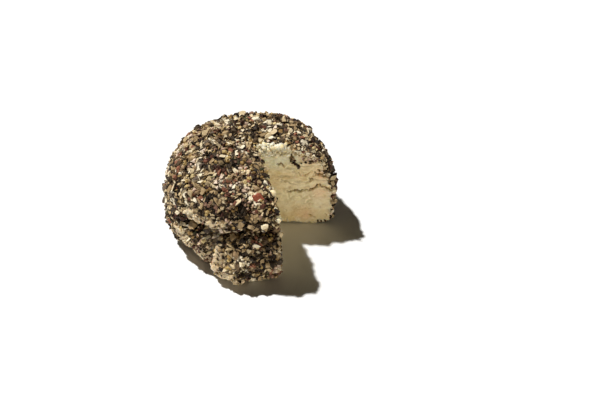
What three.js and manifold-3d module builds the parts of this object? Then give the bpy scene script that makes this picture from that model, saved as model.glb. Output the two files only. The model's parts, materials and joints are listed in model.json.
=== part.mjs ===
// A small fresh-cheese wheel rolled in cracked pepper, with one wedge cut out of it.
// Millimetres, +Z up. The origin is the middle of the footprint, on the face that the wheel rests on.
// Azimuths are in degrees about +Z, 0 along +X and 90 along +Y. The wedge gap opens towards +X and -Y.
import * as THREE from "three";
import { mergeVertices } from "three/addons/utils/BufferGeometryUtils.js";
import Module from "manifold-3d";

const wasm = await Module();
wasm.setup();

// Driving dimensions of the wheel, the coat included.
const WHEEL_DIAMETER = 95; // across the girth, the widest ring
const WHEEL_HEIGHT = 61; // from the resting face to the crown
const GIRTH_HEIGHT = 26; // of the girth above the resting face
const FOOT_INSET = 8; // how far the flat foot stops short of the girth
const COAT_THICKNESS = 2; // of the pressed layer of crumbs
const LAYER_GAP = 0.3; // between the cheese and its coat

// Superellipse exponents: 2 is an ellipse, and more is squarer.
const DOME_FULLNESS = 2.75; // of the profile over the girth
const FOOT_FULLNESS = 2.2; // of the profile under it

// The wedge gap: two knife cuts that meet in an upright line beside the axis.
const CUT_APEX_X = 3.5;
const CUT_APEX_Y = 2.5;
const CUT_FROM_AZIMUTH = -76;
const CUT_TO_AZIMUTH = -5;

// Swellings and hollows left by hand shaping: where each is centred on the side, how far it reaches
// over the surface and how far it moves it, outwards if positive.
const SWELLINGS = [
  { azimuth: -97, height: 8, reach: 16, swell: 4.4 }, // the foot that sags out beside the cut
  { azimuth: -102, height: 32, reach: 18, swell: -5.8 }, // the front that is set back over it
  { azimuth: -140, height: 1, reach: 12, swell: -4.5 }, // the tucked-in lower left
  { azimuth: -140, height: 30, reach: 16, swell: -3.8 }, // the shallow left front
  { azimuth: -164, height: 20, reach: 16, swell: 1.2 }, // the belly beside it
  { azimuth: 178, height: 36, reach: 18, swell: -0.9 }, // the flatter left side
  { azimuth: 140, height: 42, reach: 22, swell: 0.8 }, // the full left shoulder
  { azimuth: 42, height: 49, reach: 19, swell: 2.3 }, // the fuller right shoulder
  { azimuth: 25, height: 18, reach: 18, swell: 0.8 }, // the belly at the right
  { azimuth: -4, height: 2, reach: 11, swell: 3 }, // the square foot at the far end of the gap
];

// Creases where the curd was folded: each runs over the side from one place to another.
const CREASES = [
  { from: { azimuth: -142, height: 33 }, to: { azimuth: -74, height: 35 }, depth: 2.6, width: 3.2 },
  { from: { azimuth: -122, height: 31 }, to: { azimuth: -124, height: 6 }, depth: 2.4, width: 3.2 },
  { from: { azimuth: -94, height: 37 }, to: { azimuth: -90, height: 49 }, depth: 1.2, width: 3 },
  { from: { azimuth: 150, height: 22 }, to: { azimuth: 95, height: 30 }, depth: 1.2, width: 3.2 },
];

// How finely the surface is faceted.
const AROUND = 90;
const FOOT_STEPS = 8;
const DOME_STEPS = 20;
const CREASE_STEPS = 40;

const LAYER_OFFSET = COAT_THICKNESS + LAYER_GAP;
const CHEESE_RADIUS = WHEEL_DIAMETER / 2 - LAYER_OFFSET;
const CHEESE_HEIGHT = WHEEL_HEIGHT - 2 * LAYER_OFFSET;
const CHEESE_GIRTH = GIRTH_HEIGHT - LAYER_OFFSET;

const quarterTurn = Math.PI / 2;
const radians = THREE.MathUtils.degToRad;

// One coordinate of a superellipse, from 0 to 1, at an angle whose sine or cosine is given.
function superellipse(sineOrCosine, fullness) {
  return Math.pow(Math.max(sineOrCosine, 0), 2 / fullness);
}

// The cheese's half profile, as radius and height over its own flat foot, from the axis to the axis.
function cheeseProfile() {
  const footRadius = CHEESE_RADIUS - FOOT_INSET;
  const points = [new THREE.Vector2(0, 0)];
  for (let i = 0; i <= FOOT_STEPS; i++) {
    const t = (quarterTurn * i) / FOOT_STEPS;
    const out = superellipse(Math.sin(t), FOOT_FULLNESS);
    const down = superellipse(Math.cos(t), FOOT_FULLNESS);
    points.push(new THREE.Vector2(footRadius + FOOT_INSET * out, CHEESE_GIRTH * (1 - down)));
  }
  for (let i = 1; i < DOME_STEPS; i++) {
    const t = (quarterTurn * i) / DOME_STEPS;
    const out = superellipse(Math.cos(t), DOME_FULLNESS);
    const up = superellipse(Math.sin(t), DOME_FULLNESS);
    const domeHeight = CHEESE_HEIGHT - CHEESE_GIRTH;
    points.push(new THREE.Vector2(CHEESE_RADIUS * out, CHEESE_GIRTH + domeHeight * up));
  }
  points.push(new THREE.Vector2(0, CHEESE_HEIGHT));
  return points;
}

// The smooth cheese's radius at a height over its foot.
function cheeseRadiusAt(height) {
  const onDome = height > CHEESE_GIRTH;
  const fullness = onDome ? DOME_FULLNESS : FOOT_FULLNESS;
  const span = onDome ? CHEESE_HEIGHT - CHEESE_GIRTH : CHEESE_GIRTH;
  const share = Math.min(Math.abs(height - CHEESE_GIRTH) / span, 1);
  const out = Math.pow(1 - Math.pow(share, fullness), 1 / fullness);
  return onDome ? CHEESE_RADIUS * out : CHEESE_RADIUS - FOOT_INSET * (1 - out);
}

// A place on the smooth cheese, by azimuth and height.
function placeOnSide(azimuth, height) {
  const a = radians(azimuth);
  const radius = cheeseRadiusAt(height);
  return new THREE.Vector3(radius * Math.cos(a), radius * Math.sin(a), height);
}

// How deep a crease is at a point: full depth along its line, and fading over its width.
function creaseDepth({ from, to, depth, width }, point) {
  let nearest = Infinity;
  for (let i = 0; i <= CREASE_STEPS; i++) {
    const share = i / CREASE_STEPS;
    const azimuth = THREE.MathUtils.lerp(from.azimuth, to.azimuth, share);
    const height = THREE.MathUtils.lerp(from.height, to.height, share);
    nearest = Math.min(nearest, point.distanceTo(placeOnSide(azimuth, height)));
  }
  return depth * Math.exp(-Math.pow(nearest / width, 2));
}

// How far the hand-shaped surface stands out from the smooth one at a point, along its normal.
function standOut(point) {
  let out = 0;
  for (const { azimuth, height, reach, swell } of SWELLINGS) {
    const away = point.distanceTo(placeOnSide(azimuth, height)) / reach;
    out += swell * Math.exp(-away * away);
  }
  for (const crease of CREASES) {
    out -= creaseDepth(crease, point);
  }
  return out;
}

// The cheese's closed outer surface, with shared corners and their normals. Under the girth the
// shaping only moves it sideways, so the foot stays flat and lowest.
function cheeseSurface() {
  const lathe = new THREE.LatheGeometry(cheeseProfile(), AROUND);
  lathe.rotateX(quarterTurn); // the lathe turns about +Y, and the wheel stands along +Z
  lathe.deleteAttribute("normal");
  lathe.deleteAttribute("uv");
  const surface = mergeVertices(lathe, 1e-3);
  surface.computeVertexNormals();
  const position = surface.getAttribute("position");
  const normal = surface.getAttribute("normal");
  const point = new THREE.Vector3();
  const outwards = new THREE.Vector3();
  for (let i = 0; i < position.count; i++) {
    point.fromBufferAttribute(position, i);
    outwards.fromBufferAttribute(normal, i);
    if (point.z < CHEESE_GIRTH) outwards.z = 0;
    point.addScaledVector(outwards, standOut(point));
    position.setXYZ(i, point.x, point.y, point.z);
  }
  surface.computeVertexNormals();
  return surface;
}

// A copy of the cheese's surface, a distance outside it. The flat foot moves straight down, and
// everything is lifted so that the coat's foot rests at height 0.
function layerSurface(distance) {
  const surface = cheeseSurface();
  const position = surface.getAttribute("position");
  const normal = surface.getAttribute("normal");
  for (let i = 0; i < position.count; i++) {
    const onFoot = position.getZ(i) < 1e-3;
    const down = onFoot ? -1 : normal.getZ(i);
    position.setXYZ(
      i,
      position.getX(i) + distance * normal.getX(i),
      position.getY(i) + distance * normal.getY(i),
      position.getZ(i) + distance * down + LAYER_OFFSET,
    );
  }
  return surface;
}

// The wedge that was cut out: an upright prism over the gap, taller and wider than the wheel.
function cutWedge() {
  const reach = WHEEL_DIAMETER;
  const middle = (CUT_FROM_AZIMUTH + CUT_TO_AZIMUTH) / 2;
  const outline = new THREE.Shape();
  outline.moveTo(CUT_APEX_X, CUT_APEX_Y);
  for (const azimuth of [CUT_FROM_AZIMUTH, middle, CUT_TO_AZIMUTH]) {
    const a = radians(azimuth);
    outline.lineTo(CUT_APEX_X + reach * Math.cos(a), CUT_APEX_Y + reach * Math.sin(a));
  }
  outline.closePath();
  const spare = WHEEL_HEIGHT;
  const prism = new THREE.ExtrudeGeometry(outline, {
    depth: WHEEL_HEIGHT + 2 * spare,
    bevelEnabled: false,
  });
  return prism.translate(0, 0, -spare);
}

// A closed geometry as a solid that can be joined and cut.
function solidOf(geometry) {
  const bare = geometry.clone();
  bare.deleteAttribute("normal");
  bare.deleteAttribute("uv");
  const merged = mergeVertices(bare, 1e-3);
  return new wasm.Manifold(
    new wasm.Mesh({
      numProp: 3,
      vertProperties: new Float32Array(merged.getAttribute("position").array),
      triVerts: new Uint32Array(merged.index.array),
    }),
  );
}

// A cut or joined solid as a geometry again.
function geometryOf(solid) {
  const { vertProperties, triVerts } = solid.getMesh();
  const geometry = new THREE.BufferGeometry();
  geometry.setAttribute("position", new THREE.BufferAttribute(vertProperties, 3));
  geometry.setIndex(new THREE.BufferAttribute(triVerts, 1));
  geometry.computeVertexNormals();
  return geometry;
}

// The soft white cheese, in one piece, with the wedge taken out.
function makeCheesePaste() {
  const whole = solidOf(layerSurface(0));
  const material = new THREE.MeshStandardMaterial({ color: 0xe6dec4, roughness: 0.62, metalness: 0 });
  return new THREE.Mesh(geometryOf(whole.subtract(solidOf(cutWedge()))), material);
}

// The pressed layer of cracked pepper all over the outside, open where the wedge was taken out.
function makePepperCoat() {
  const outside = solidOf(layerSurface(LAYER_OFFSET));
  const inside = solidOf(layerSurface(LAYER_GAP));
  const cut = outside.subtract(inside).subtract(solidOf(cutWedge()));
  const material = new THREE.MeshStandardMaterial({ color: 0x6b5a45, roughness: 0.85, metalness: 0 });
  return new THREE.Mesh(geometryOf(cut), material);
}

const cheesePaste = makeCheesePaste();
cheesePaste.name = "cheese_paste";

const pepperCoat = makePepperCoat();
pepperCoat.name = "pepper_coat";

const wheel = new THREE.Group();
wheel.add(cheesePaste, pepperCoat);

// The hand-shaped outline isn't quite round, so the wheel is moved to put its footprint's middle on the axis.
const footprint = new THREE.Box3().setFromObject(wheel, true).getCenter(new THREE.Vector3());
wheel.position.set(-footprint.x, -footprint.y, 0);

export default wheel;
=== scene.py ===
"""A small fresh-cheese wheel rolled in cracked pepper and seeds, with one wedge cut out of it.

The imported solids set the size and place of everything. The soft cheese is remeshed from its own
solid and roughened, and the coat's crumbs are shaped one kind at a time and pressed on to it.
Sizes are in millimetres unless a name says otherwise, and MM turns them into metres.
"""
import json
import logging
import math
from dataclasses import dataclass, field
from enum import Enum

import bmesh
import bpy
import numpy as np
from mathutils import Matrix, Vector, kdtree, noise
from mathutils.bvhtree import BVHTree

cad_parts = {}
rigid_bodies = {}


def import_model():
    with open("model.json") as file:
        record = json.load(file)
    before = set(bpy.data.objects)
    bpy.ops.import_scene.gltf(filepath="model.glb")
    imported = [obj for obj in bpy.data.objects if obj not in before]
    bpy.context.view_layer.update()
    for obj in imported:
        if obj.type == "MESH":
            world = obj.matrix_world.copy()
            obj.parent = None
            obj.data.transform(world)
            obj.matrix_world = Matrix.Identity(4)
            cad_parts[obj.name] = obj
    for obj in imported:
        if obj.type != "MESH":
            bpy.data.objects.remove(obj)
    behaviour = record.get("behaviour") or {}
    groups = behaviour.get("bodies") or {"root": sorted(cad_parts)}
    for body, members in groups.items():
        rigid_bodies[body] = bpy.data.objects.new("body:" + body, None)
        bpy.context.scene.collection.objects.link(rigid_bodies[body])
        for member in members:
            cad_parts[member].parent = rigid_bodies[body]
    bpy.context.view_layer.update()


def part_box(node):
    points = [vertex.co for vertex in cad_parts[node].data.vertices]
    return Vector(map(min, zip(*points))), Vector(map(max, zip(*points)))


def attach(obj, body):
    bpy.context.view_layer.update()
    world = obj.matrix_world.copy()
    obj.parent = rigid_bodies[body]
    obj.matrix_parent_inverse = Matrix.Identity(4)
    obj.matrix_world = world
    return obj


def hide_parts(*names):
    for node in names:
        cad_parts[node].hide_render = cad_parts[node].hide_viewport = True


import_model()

MM = 0.001
BAKE_MAP = "OFBake"
LEVEL = np.array([1.0, 1.0, 0.0])  # leaves out the height of a place
TINT_GATHER = 1.6  # how strongly crumbs of like tint lie together
TINT_SPREAD = 0.42  # how far neighbours' tints differ
CRUMB_FLOOR_GAP = 0.02

log = logging.getLogger("cheese_wheel")


class Shape(Enum):
    """The ways a crumb can be broken: how many cuts, and its least and most width and thickness."""

    CHIP = (4, (0.55, 0.9), (0.4, 0.75))
    CRUMB = (4, (0.5, 0.9), (0.35, 0.75))
    SEED = (1, (0.85, 1.0), (0.8, 0.95))
    HUSK = (1, (0.55, 0.85), (0.45, 0.75))
    SPLINTER = (2, (0.3, 0.45), (0.22, 0.35))
    FLECK = (1, (0.6, 0.9), (0.4, 0.7))
    LUMP = (0, (0.6, 0.95), (0.5, 0.8))
    SMEAR = (0, (0.4, 0.75), (0.22, 0.34))


class Pattern(Enum):
    """The noise patterns: the size of the largest bumps, the finer layers, and a seed."""

    SWELLS = (13.0, 2, 1.0)
    DENTS = (5.5, 2, 2.0)
    RUBBED = (4.0, 3, 3.0)
    CURD = (2.8, 3, 5.0)
    FINE = (0.9, 2, 6.0)
    STRINGS = (2.2, 3, 7.0)
    PITS = (3.0, 1, 8.0)
    SPOTS = (5.0, 2, 9.0)
    WAVES = (7.0, 2, 11.0)
    BARE_EDGE = (3.0, 2, 12.0)
    CRACK_WIDTH = (2.0, 2, 13.0)
    TORN_EDGE = (3.0, 2, 14.0)
    PUSHED_OUT = (3.2, 2, 15.0)
    KIND = (7.5, 2, 20.0)
    TINT = (8.5, 2, 40.0)
    TONE = (10.0, 2, 60.0)

    def at(self, places: np.ndarray, number: int = 0) -> np.ndarray:
        """Smooth noise at each place.

        Args:
            places: Places in millimetres, one a row.
            number: Picks one of several patterns of the same kind.

        Returns:
            One value a place, roughly from -1 to 1.
        """
        size, octaves, seed = self.value
        seed += number
        offset = Vector((seed * 7.3, seed * 3.1, seed * 5.7))
        return np.array([noise.fractal(Vector(place) / size + offset, 0.9, 2.1, octaves)
                         for place in places])


def fade(values: np.ndarray, low: float, high: float) -> np.ndarray:
    """A smooth step from 0 at low to 1 at high."""
    share = np.clip((values - low) / (high - low), 0.0, 1.0)
    return share * share * (3.0 - 2.0 * share)


def band(values: np.ndarray, ends: tuple) -> np.ndarray:
    """A smooth band: from 0 to 1 over the first two ends, and back to 0 over the last two."""
    return fade(values, *ends[:2]) * (1.0 - fade(values, *ends[2:]))


def bell(away: np.ndarray) -> np.ndarray:
    """A smooth bump, 1 where away is 0 and almost gone where it is 2."""
    return np.exp(-np.square(away))


def vertices(mesh: bpy.types.Mesh) -> tuple:
    """Reads a mesh.

    Args:
        mesh: The mesh to read.

    Returns:
        Its vertices in millimetres and their normals, one a row each.
    """
    places, normals = np.empty((2, len(mesh.vertices) * 3))
    mesh.vertices.foreach_get("co", places)
    mesh.vertex_normals.foreach_get("vector", normals)
    return places.reshape(-1, 3) / MM, normals.reshape(-1, 3)


def move_vertices(mesh: bpy.types.Mesh, places: np.ndarray) -> None:
    """Puts the mesh's vertices at these places, in millimetres."""
    mesh.vertices.foreach_set("co", (places * MM).ravel())
    mesh.update()


def finder(places: np.ndarray, indices: np.ndarray) -> kdtree.KDTree:
    """Makes a finder of the nearest of some places.

    Args:
        places: Places, one a row.
        indices: Which of them can be found.

    Returns:
        A tree that finds their numbers in indices.
    """
    tree = kdtree.KDTree(len(indices))
    for number, index in enumerate(indices):
        tree.insert(places[index], number)
    tree.balance()
    return tree


def paint(mesh: bpy.types.Mesh, name: str, values: np.ndarray, domain: str = "POINT") -> None:
    """Stores one number for each point or face of a mesh, for its material to read."""
    layer = mesh.attributes.new(name, "FLOAT", domain)
    layer.data.foreach_set("value", values.astype(np.float32))


def new_object(name: str, data: bpy.types.ID) -> bpy.types.Object:
    """Links a mesh, light or camera into the scene as a named object."""
    made = bpy.data.objects.new(name, data)
    bpy.context.scene.collection.objects.link(made)
    return made


def aim(made: bpy.types.Object, direction: Vector) -> None:
    """Turns a light or a camera to face a direction."""
    made.rotation_euler = direction.to_track_quat("-Z", "Y").to_euler()


def colour(red: float, green: float, blue: float) -> tuple:
    """A colour for a node's input."""
    return (red, green, blue, 1.0)


@dataclass
class NodeBuilder:
    """Adds nodes to one tree and links them. A feed is another node's output, or a plain value."""

    tree: bpy.types.NodeTree

    def add(self, kind: str, feeds: dict | None = None, **settings: object) -> bpy.types.Node:
        """Adds a node.

        Args:
            kind: The node's type.
            feeds: What goes in its inputs, by name or number.
            **settings: The node's own properties.

        Returns:
            The node.
        """
        node = self.tree.nodes.new(kind)
        for key, value in settings.items():
            setattr(node, key, value)
        self.feed(node, feeds or {})
        return node

    def feed(self, node: bpy.types.Node, feeds: dict) -> None:
        """Puts feeds in a node's inputs, by name or number."""
        for key, source in feeds.items():
            self.link(source, node.inputs[key])

    def link(self, source: object, target: bpy.types.NodeSocket) -> None:
        """Puts a feed in an input."""
        if isinstance(source, bpy.types.NodeSocket):
            self.tree.links.new(source, target)
        else:
            target.default_value = source

    def place(self) -> bpy.types.NodeSocket:
        """Object coordinates, in metres."""
        return self.add("ShaderNodeTexCoord").outputs["Object"]

    def noise(self, scale: float, detail: float = 3.0) -> bpy.types.NodeSocket:
        """A noise value over the surface, whose bumps are about 1/scale of a metre."""
        feeds = {"Vector": self.place(), "Scale": scale, "Detail": detail}
        return self.add("ShaderNodeTexNoise", feeds).outputs["Fac"]

    def attribute(self, name: str) -> bpy.types.NodeSocket:
        """A number stored on the mesh."""
        return self.add("ShaderNodeAttribute", attribute_name=name).outputs["Fac"]

    def math(self, operation: str, a: object, b: object) -> bpy.types.NodeSocket:
        """One sum on two values."""
        return self.add("ShaderNodeMath", {0: a, 1: b}, operation=operation).outputs[0]

    def span(self, value: object, low: float, high: float, to_low: float = 0.0,
             to_high: float = 1.0) -> bpy.types.NodeSocket:
        """Maps a value from one range to another, and holds it there."""
        feeds = {"Value": value, "From Min": low, "From Max": high,
                 "To Min": to_low, "To Max": to_high}
        return self.add("ShaderNodeMapRange", feeds).outputs["Result"]

    def mix(self, share: object, a: object, b: object) -> bpy.types.NodeSocket:
        """Mixes two colours.

        Args:
            share: How much of the second there is, from 0 to 1.
            a: The first colour.
            b: The second colour.

        Returns:
            The mixed colour.
        """
        node = self.add("ShaderNodeMix", {"Factor": share}, data_type="RGBA")
        colours = [socket for socket in node.inputs if socket.type == "RGBA"]
        for source, target in zip((a, b), colours):
            self.link(source, target)
        return next(socket for socket in node.outputs if socket.type == "RGBA")

    def ramp(self, value: object, stops: tuple) -> bpy.types.NodeSocket:
        """Looks up a colour.

        Args:
            value: How far along the run of colours, from 0 to 1.
            stops: The run's positions, each with its red, green and blue.

        Returns:
            The colour.
        """
        node = self.add("ShaderNodeValToRGB", {"Fac": value})
        elements = node.color_ramp.elements
        while len(elements) < len(stops):
            elements.new(0.5)
        for element, (position, shade) in zip(elements, stops):
            element.position = position
            element.color = colour(*shade)
        return node.outputs["Color"]

    def bump(self, height: object, distance: float, strength: float) -> bpy.types.NodeSocket:
        """Fine relief from a height, in millimetres of full depth."""
        feeds = {"Height": height, "Distance": distance * MM, "Strength": strength}
        return self.add("ShaderNodeBump", feeds).outputs["Normal"]


def new_material(name: str, values: dict) -> tuple:
    """Makes a material with one Principled shader.

    Args:
        name: The material's name.
        values: The shader's own plain values, by input name.

    Returns:
        The material, its node builder and its shader.
    """
    material = bpy.data.materials.new(name)
    material.use_nodes = True
    build = NodeBuilder(material.node_tree)
    shader = material.node_tree.nodes["Principled BSDF"]
    build.feed(shader, values)
    return material, build, shader


def dust_group() -> bpy.types.NodeTree:
    """A shared effect: pale powder of ground pepper and dry curd, caught on the coat.

    Returns:
        A node group that turns a colour into the same colour with dust on it.
    """
    group = bpy.data.node_groups.new("pepper_dust", "ShaderNodeTree")
    for name, way, kind in (("Colour", "INPUT", "Color"), ("Dust", "INPUT", "Color"),
                            ("Amount", "INPUT", "Float"), ("Colour", "OUTPUT", "Color")):
        group.interface.new_socket(name, in_out=way, socket_type="NodeSocket" + kind)
    build = NodeBuilder(group)
    given = build.add("NodeGroupInput").outputs
    fine = build.span(build.noise(1700.0, 2.0), 0.5, 0.68)
    broad = build.span(build.noise(130.0, 2.0), 0.38, 0.68)
    share = build.math("MULTIPLY", build.math("MULTIPLY", fine, broad), given["Amount"])
    build.add("NodeGroupOutput", {"Colour": build.mix(share, given["Colour"], given["Dust"])})
    return group


@dataclass(frozen=True)
class CrumbFinish:
    """The look of one kind of crumb: its skin, and the paler inside that breaking shows."""

    name: str
    skin: tuple
    core: tuple
    roughness: float
    dust: float
    dust_colour: tuple = colour(0.52, 0.42, 0.28)
    core_roughness: float = 0.8
    wrinkle: float = 0.5
    wavering: float = 0.16  # how far the tint varies within one crumb

    def make(self, dust: bpy.types.NodeTree) -> bpy.types.Material:
        """Builds the material, or finds it if it is there.

        Args:
            dust: The shared dust group.

        Returns:
            The finished material.
        """
        if self.name in bpy.data.materials:
            return bpy.data.materials[self.name]
        material, build, shader = new_material(
            self.name, {"IOR": 1.45, "Specular IOR Level": 0.3})
        core = build.attribute("core")
        grain = build.span(build.noise(900.0), 0.3, 0.7, -self.wavering, self.wavering)
        tint = build.math("ADD", build.attribute("tint"), grain)
        plain = build.mix(core, build.ramp(tint, self.skin), build.ramp(tint, self.core))
        dusted = build.add("ShaderNodeGroup", {
            "Colour": plain, "Dust": self.dust_colour, "Amount": self.dust}, node_tree=dust)
        build.feed(shader, {
            "Base Color": dusted.outputs["Colour"],
            "Roughness": build.span(core, 0.0, 1.0, self.roughness, self.core_roughness),
            "Normal": build.bump(build.noise(1400.0), self.wrinkle, 0.8)})
        return material


@dataclass(frozen=True)
class PasteFinish:
    """Soft fresh cheese: smooth where the knife pressed it, and grainy towards the outside."""

    cream: tuple = colour(0.79, 0.70, 0.46)
    warm: tuple = colour(0.76, 0.61, 0.34)
    white: tuple = colour(0.86, 0.81, 0.66)
    tan: tuple = colour(0.74, 0.59, 0.39)
    brown: tuple = colour(0.20, 0.115, 0.055)
    mottle: tuple = colour(0.55, 0.42, 0.20)
    pink: tuple = colour(0.86, 0.56, 0.36)
    # A cool grey for the painted shade under the torn curd.
    cool_shade: tuple = colour(0.74, 0.76, 0.60)
    # Dark brown for real stains and for painted shade in cracks, pits and grooves.
    stain: tuple = colour(0.20, 0.12, 0.045)
    # The crumb bed: fine crumbs, kept dark as painted shade in the gaps between the larger crumbs.
    bed: tuple = ((0.0, (0.006, 0.004, 0.003)), (0.4, (0.025, 0.014, 0.007)),
                  (0.7, (0.08, 0.045, 0.02)), (0.9, (0.20, 0.13, 0.06)), (1.0, (0.42, 0.31, 0.17)))

    def make(self) -> bpy.types.Material:
        """Builds the material, with the crumb bed, dark as painted shade between the crumbs, where
        the mesh says that it is outside.
        """
        material, build, shader = new_material("fresh_cheese", {
            "IOR": 1.42, "Subsurface Weight": 0.35, "Subsurface Scale": 0.0022,
            "Subsurface Radius": (1.0, 0.72, 0.42)})
        crumbly = build.attribute("crumbly")
        broad = build.span(build.noise(70.0), 0.35, 0.68)
        base = build.mix(broad, self.cream, self.warm)
        curd = build.span(build.noise(420.0), 0.42, 0.62)
        whitened = build.math("MULTIPLY", curd, build.span(crumbly, 0.0, 1.0, 0.15, 0.85))
        base = build.mix(whitened, base, self.white)
        strings = build.span(build.noise(330.0, 4.0), 0.54, 0.68)
        rubbed = build.mix(strings, self.tan, self.brown)
        base = build.mix(build.attribute("outer"), base, rubbed)
        mottled = build.span(build.noise(260.0), 0.5, 0.72, 0.0, 0.35)
        base = build.mix(mottled, base, self.mottle)
        # The cool grey is painted shade under the torn curd; the dark brown is stains plus painted
        # shade in cracks, pits and grooves.
        for name, most, tint in (("flush", 0.45, self.pink), ("pallor", 0.75, self.cool_shade),
                                 ("stain", 1.0, self.stain)):
            share = build.span(build.attribute(name), 0.0, 1.0, 0.0, most)
            base = build.mix(share, base, tint)
        # The outside gets the crumb bed, dark as painted shade between the crumbs.
        base = build.mix(build.attribute("rind"), base, self._crumb_bed_and_gap_shade(build))
        grain = build.math("MULTIPLY", build.noise(800.0, 4.0), 0.6)
        relief = build.math("ADD", grain, build.noise(210.0, 2.0))
        build.feed(shader, {
            "Base Color": base, "Roughness": build.span(crumbly, 0.0, 1.0, 0.46, 0.72),
            "Normal": build.bump(relief, 0.55, 0.7)})
        return material

    def _crumb_bed_and_gap_shade(self, build: NodeBuilder) -> bpy.types.NodeSocket:
        """The fine crumbs pressed into the cheese under the larger ones, kept dark as painted shade
        in the gaps between them.

        Args:
            build: The builder of the cheese's material.

        Returns:
            Their colour.
        """
        cells = build.add("ShaderNodeTexVoronoi", {"Vector": build.place(), "Scale": 850.0})
        split = build.add("ShaderNodeSeparateColor", {"Color": cells.outputs["Color"]})
        return build.ramp(split.outputs[0], self.bed)


def on_side(side: BVHTree, azimuth: float, height: float) -> np.ndarray:
    """The place on the cheese's side at an azimuth in degrees and a height, in millimetres."""
    a = math.radians(azimuth)
    outwards = Vector((math.cos(a), math.sin(a), 0.0))
    start = Vector((0.0, 0.0, height * MM)) + outwards * 0.2
    return np.array(side.ray_cast(start, -outwards)[0]) / MM


@dataclass(frozen=True)
class Crease:
    """A fold in the side, from one azimuth and height to another, with an overhanging lip."""

    start: tuple
    end: tuple
    depth: float
    width: float
    lip: float = 0.0

    def line(self, side: BVHTree, steps: int = 60) -> np.ndarray:
        """Places along the fold on the cheese's side, in millimetres."""
        places = []
        for share in np.linspace(0.0, 1.0, steps):
            azimuth = self.start[0] + (self.end[0] - self.start[0]) * share
            height = self.start[1] + (self.end[1] - self.start[1]) * share
            wobble = 1.1 * math.sin(share * 11.0 + self.depth) + 0.6 * math.sin(share * 27.0)
            height += wobble if self.lip else 0.0
            places.append(on_side(side, azimuth, height))
        return np.array(places)


@dataclass(frozen=True)
class Patch:
    """A round place on the outside, by azimuth and height, and how far it reaches."""

    azimuth: float
    height: float
    reach: float
    strength: float = 1.0

    def share(self, places: np.ndarray, side: BVHTree) -> np.ndarray:
        """How strongly each place belongs to the patch, from 0 to its strength."""
        centre = on_side(side, self.azimuth, self.height)
        away = np.linalg.norm(places - centre, axis=1) / self.reach
        return self.strength * bell(away)


@dataclass(frozen=True)
class Streak:
    """A crack or a scratch across a cut face.

    Its places are distances from the heart and heights, and the first face is number 0.
    """

    face: int
    places: tuple
    depth: float
    width: float

    def gap(self, along: np.ndarray, height: np.ndarray) -> np.ndarray:
        """How far each place on the face is from the streak, in millimetres."""
        ends = np.array(self.places, float)
        steps = np.linspace(0.0, len(ends) - 1.0, 14 * len(ends))
        x = np.interp(steps, np.arange(len(ends)), ends[:, 0])
        z = np.interp(steps, np.arange(len(ends)), ends[:, 1])
        z += 0.35 * np.sin(steps * 5.0 + self.depth) + 0.2 * np.sin(steps * 13.0)
        apart = np.hypot(along[:, None] - x[None], height[:, None] - z[None])
        return apart.min(axis=1)


@dataclass
class CutPlane:
    """One flat face that the knife left, facing into the gap."""

    point: np.ndarray
    normal: np.ndarray

    def above(self, places: np.ndarray) -> np.ndarray:
        """How far each place is in front of the face, in millimetres."""
        return (places - self.point) @ self.normal


def cut_planes(node: bpy.types.Object) -> list:
    """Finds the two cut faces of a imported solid: the two largest upright flats.

    Args:
        node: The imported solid.

    Returns:
        Two planes, the one that faces -Y first.
    """
    areas: dict = {}
    for face in node.data.polygons:
        if abs(face.normal.z) < 0.004:
            key = tuple(round(value, 2) for value in face.normal)
            total, centre, normal = areas.get(key, (0.0, Vector(), Vector()))
            areas[key] = (total + face.area, centre + face.center * face.area,
                          normal + face.normal * face.area)
    largest = sorted(areas.values(), key=lambda found: found[0])[-2:]
    planes = [CutPlane(np.array(centre / total) / MM, np.array(normal.normalized()))
              for total, centre, normal in largest]
    return sorted(planes, key=lambda plane: plane.normal[1])


@dataclass(frozen=True)
class Relief:
    """How far each pattern raises the cheese's outside or its cut faces, in millimetres."""

    swells: float = 1.1
    dents: float = 0.75
    rubbed: float = 1.1  # the cheese that is rubbed over the coat
    rubbed_streaks: float = 1.2
    smooth: float = 0.16  # the curd where the knife pressed it
    crumbly: float = 0.45  # what is added to that beside the coat
    curd: float = 0.9
    fine: float = 0.35
    waves: float = 0.55
    strings: float = 0.3
    belt_strings: float = 0.3  # what is added to that in the belt half-way up
    pits: float = 0.8
    pushed_out: float = 0.9  # the torn curd


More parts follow.
